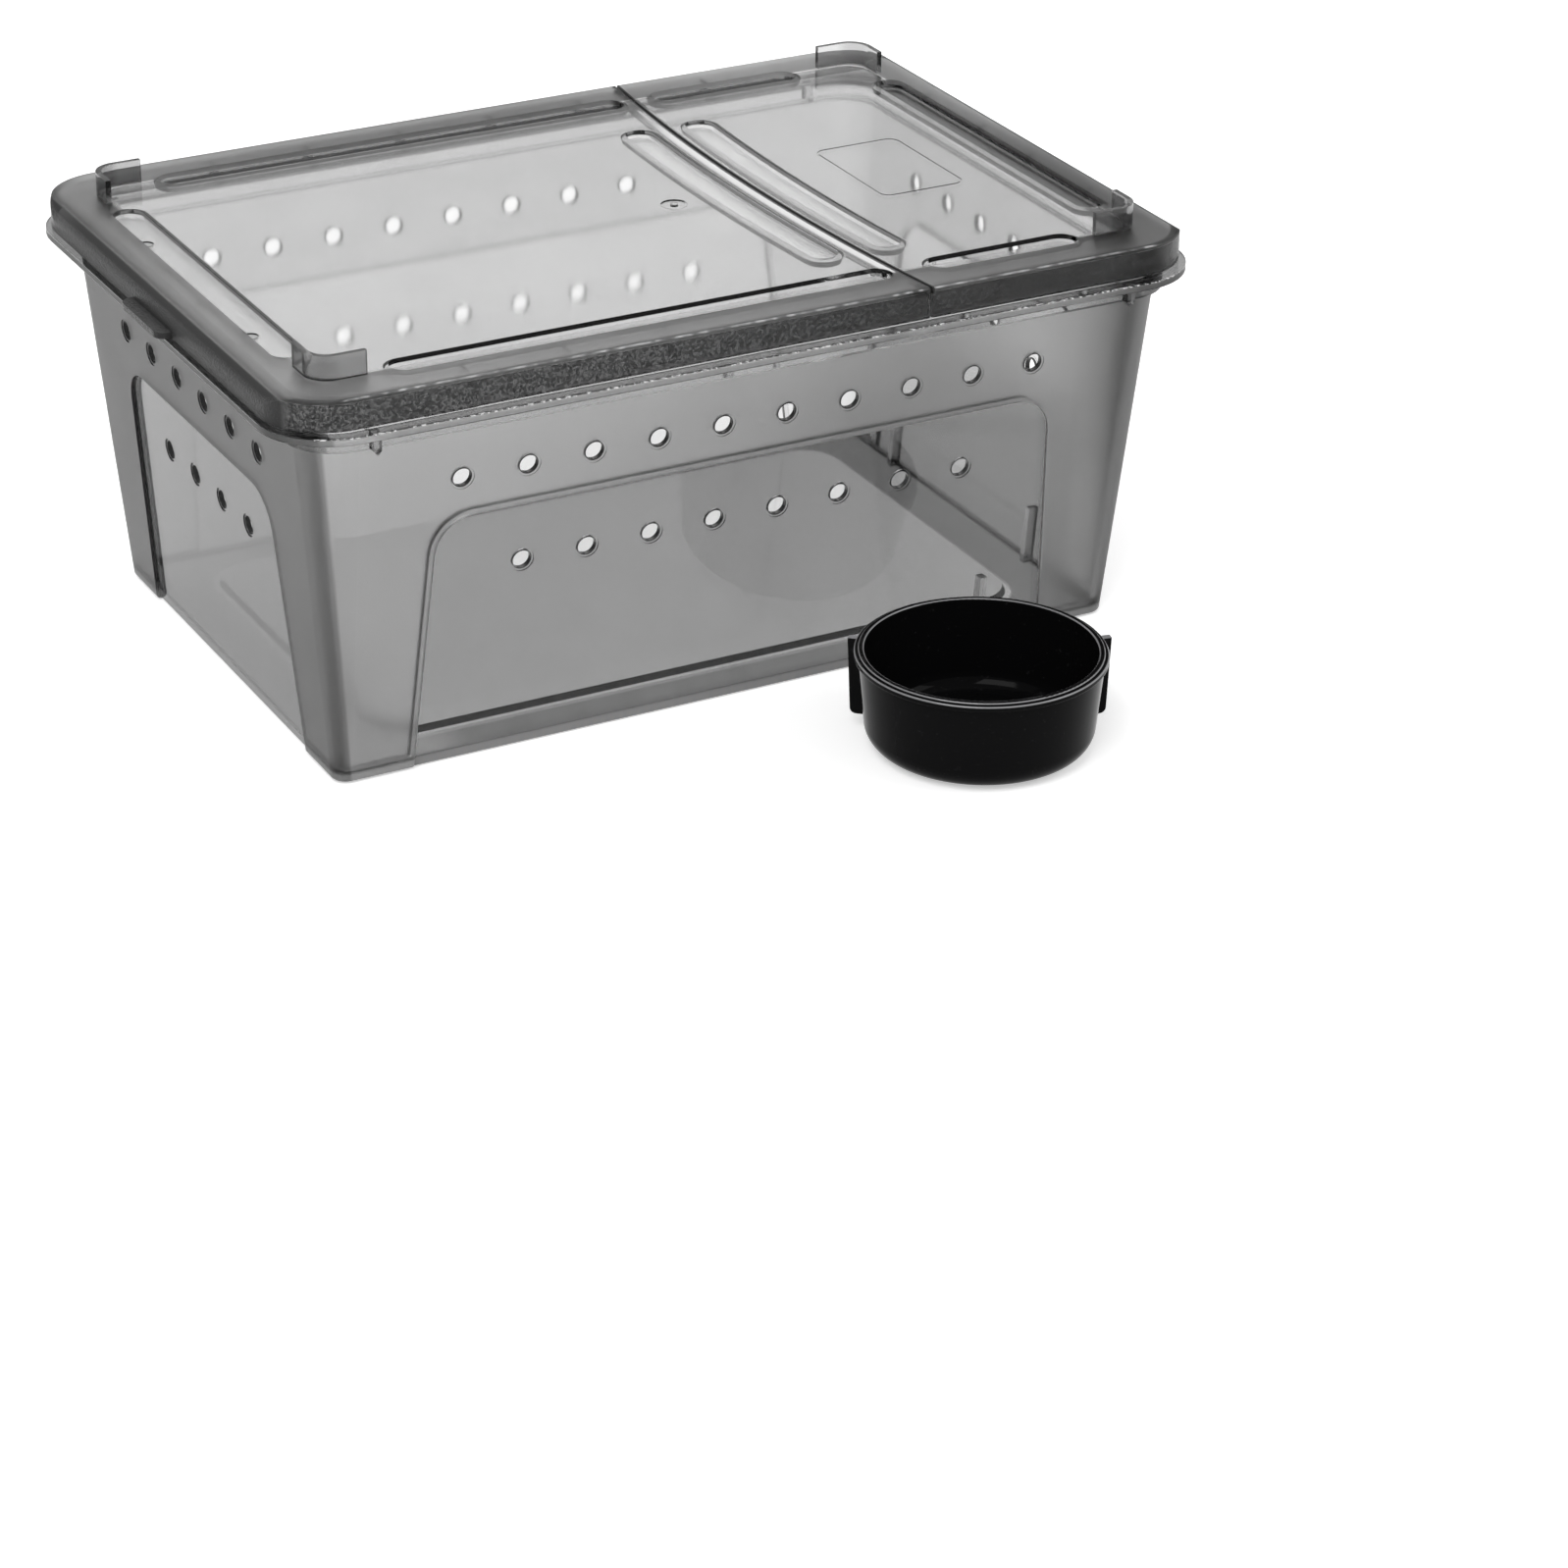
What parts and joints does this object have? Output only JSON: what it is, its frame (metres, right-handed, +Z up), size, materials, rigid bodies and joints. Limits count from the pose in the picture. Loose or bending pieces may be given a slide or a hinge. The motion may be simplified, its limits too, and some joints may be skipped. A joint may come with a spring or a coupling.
{
  "type": "ventilated plastic terrarium",
  "caption": "Tapered translucent tub with vent holes in all walls, closed by a split lift-off lid, with a loose round food bowl standing in front.",
  "frame": {"origin": "middle of the tub's flat underside, on the surface it stands on", "axes": "+Z up, +X towards the feeding hatch along the tub's length, -Y towards the front, where the bowl stands"},
  "size_m": [0.3242, 0.3019, 0.1435],
  "materials": {
    "tub_plastic": "smoke-tinted translucent moulding, frosted outside with polished clear panels",
    "lid_plastic": "smoke-tinted translucent moulding, polished top with frosted skirts",
    "bowl_plastic": "black moulding, polished"
  },
  "bodies": {
    "tub": {"tub": "tub_plastic"},
    "main_lid": {"main_lid": "lid_plastic"},
    "feeding_hatch": {"feeding_hatch": "lid_plastic"},
    "feeding_bowl": {"feeding_bowl": "bowl_plastic"}
  },
  "joints": [
    {"name": "main_lid_lift", "type": "slide", "parent": "tub", "child": "main_lid", "axis": [0, 0, 1], "range_m": [0, 0.06]},
    {"name": "hatch_lift", "type": "slide", "parent": "tub", "child": "feeding_hatch", "axis": [0, 0, 1], "range_m": [0, 0.06]},
    {"name": "bowl_lift", "type": "slide", "parent": "tub", "child": "feeding_bowl", "axis": [0, 0, 1], "range_m": [0, 0.06]}
  ]
}
